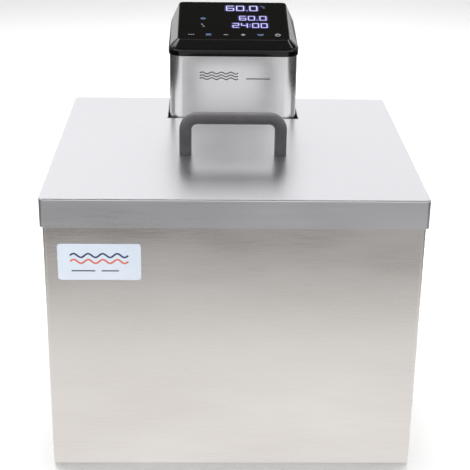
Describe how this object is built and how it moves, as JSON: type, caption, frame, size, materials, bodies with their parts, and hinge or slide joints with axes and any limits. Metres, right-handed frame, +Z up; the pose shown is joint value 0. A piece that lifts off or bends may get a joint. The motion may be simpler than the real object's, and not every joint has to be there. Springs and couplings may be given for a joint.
{
  "type": "sous vide circulator",
  "caption": "Immersion circulator with a tilted touch display, clamped in a lidded, insulated stainless water bath.",
  "frame": {"origin": "on the floor under the middle of the whole object's bounding box", "axes": "+Z up; +X right; the display, the lid's handle and the label face -Y, and the clamp and the mains inlet face +Y"},
  "size_m": [0.36, 0.3796, 0.3931],
  "materials": {
    "casing_steel": "satin",
    "lid_steel": "satin",
    "liner_steel": "satin",
    "head_steel": "satin",
    "screw_steel": "polished",
    "motor_steel": "satin",
    "transformer_steel": "satin",
    "heater_steel": "satin",
    "aluminium": "satin",
    "brass": "satin",
    "spring_metal": "satin",
    "insulation_foam": "matte",
    "black_rubber": "matte",
    "label_film": "satin",
    "handle_plastic": "satin",
    "cap_plastic": "gloss",
    "display_glass": "gloss",
    "board_green": "satin",
    "led_white": "satin",
    "relay_plastic": "satin",
    "black_plastic": "matte",
    "rocker_plastic": "gloss",
    "white_plastic": "matte",
    "bracket_paint": "satin"
  },
  "bodies": {
    "bath": {"outer_casing": "casing_steel", "tank_liner": "liner_steel", "tank_insulation": "insulation_foam", "base_plate": "liner_steel", "feet": "black_rubber", "foot_screws": "screw_steel", "foot_nuts": "screw_steel", "name_plate": "label_film"},
    "lid": {"lid_skin": "lid_steel", "lid_liner": "liner_steel", "lid_insulation": "insulation_foam", "lid_handle": "handle_plastic", "handle_screws": "screw_steel", "handle_washers": "screw_steel"},
    "circulator": {"head_shell": "head_steel", "shell_screws": "screw_steel", "chassis_plate": "aluminium", "top_cap": "cap_plastic", "cap_gasket": "black_rubber", "display_glass": "display_glass", "display_board": "board_green", "led_modules": "led_white", "touch_pads": "spring_metal", "power_board": "board_green", "board_posts": "brass", "transformer": "transformer_steel", "relay": "relay_plastic", "capacitors": "black_plastic", "heat_sink": "aluminium", "triac": "black_plastic", "fan_frame": "black_plastic", "power_inlet": "black_plastic", "inlet_pins": "brass", "inlet_screws": "screw_steel", "rocker_housing": "black_plastic", "immersion_plate": "liner_steel", "plate_screws": "screw_steel", "motor": "motor_steel", "motor_screws": "screw_steel", "pump_column": "liner_steel", "shaft_bearing": "white_plastic", "shaft_seal": "black_rubber", "pump_housing": "black_plastic", "pump_cover": "black_plastic", "heater_coil": "heater_steel", "heater_nuts": "brass", "temperature_probe": "liner_steel", "level_probes": "liner_steel", "guard": "liner_steel", "guard_screws": "screw_steel", "clamp_bracket": "bracket_paint", "bracket_screws": "screw_steel"},
    "pump_rotor": {"pump_shaft": "screw_steel", "impeller": "white_plastic"},
    "fan_rotor": {"fan_rotor": "black_plastic"},
    "rocker": {"rocker": "rocker_plastic"},
    "clamp_pad": {"clamp_pad": "black_rubber"},
    "clamp_screw": {"clamp_screw": "screw_steel", "clamp_knob": "black_plastic"}
  },
  "joints": [
    {"name": "lid_lift", "type": "slide", "parent": "bath", "child": "lid", "axis": [0, 0, 1], "range_m": [0, 0.16]},
    {"name": "circulator_lift", "type": "slide", "parent": "bath", "child": "circulator", "axis": [0, 0, 1], "range_m": [0, 0.21]},
    {"name": "pump_spin", "type": "hinge", "parent": "circulator", "child": "pump_rotor", "pos_m": [-0.0236, 0.1006, 0.25], "axis": [0, 0, 1], "continuous": true},
    {"name": "fan_spin", "type": "hinge", "parent": "circulator", "child": "fan_rotor", "pos_m": [-0.0326, 0.1783, 0.32], "axis": [0, 1, 0], "continuous": true},
    {"name": "power_rocker", "type": "hinge", "parent": "circulator", "child": "rocker", "pos_m": [0.0304, 0.1823, 0.333], "axis": [0, 0, 1], "range_deg": [0, 20]},
    {"name": "clamp_travel", "type": "slide", "parent": "circulator", "child": "clamp_pad", "axis": [0, 1, 0], "range_m": [0, 0.006]},
    {"name": "clamp_turn", "type": "hinge", "parent": "clamp_pad", "child": "clamp_screw", "pos_m": [0.0024, 0.1753, 0.248], "axis": [0, 1, 0], "range_deg": [0, 1440.1]}
  ],
  "couplings": [
    {"joint": "clamp_turn", "follows": "clamp_travel", "rad_per_m": 4188.8}
  ]
}
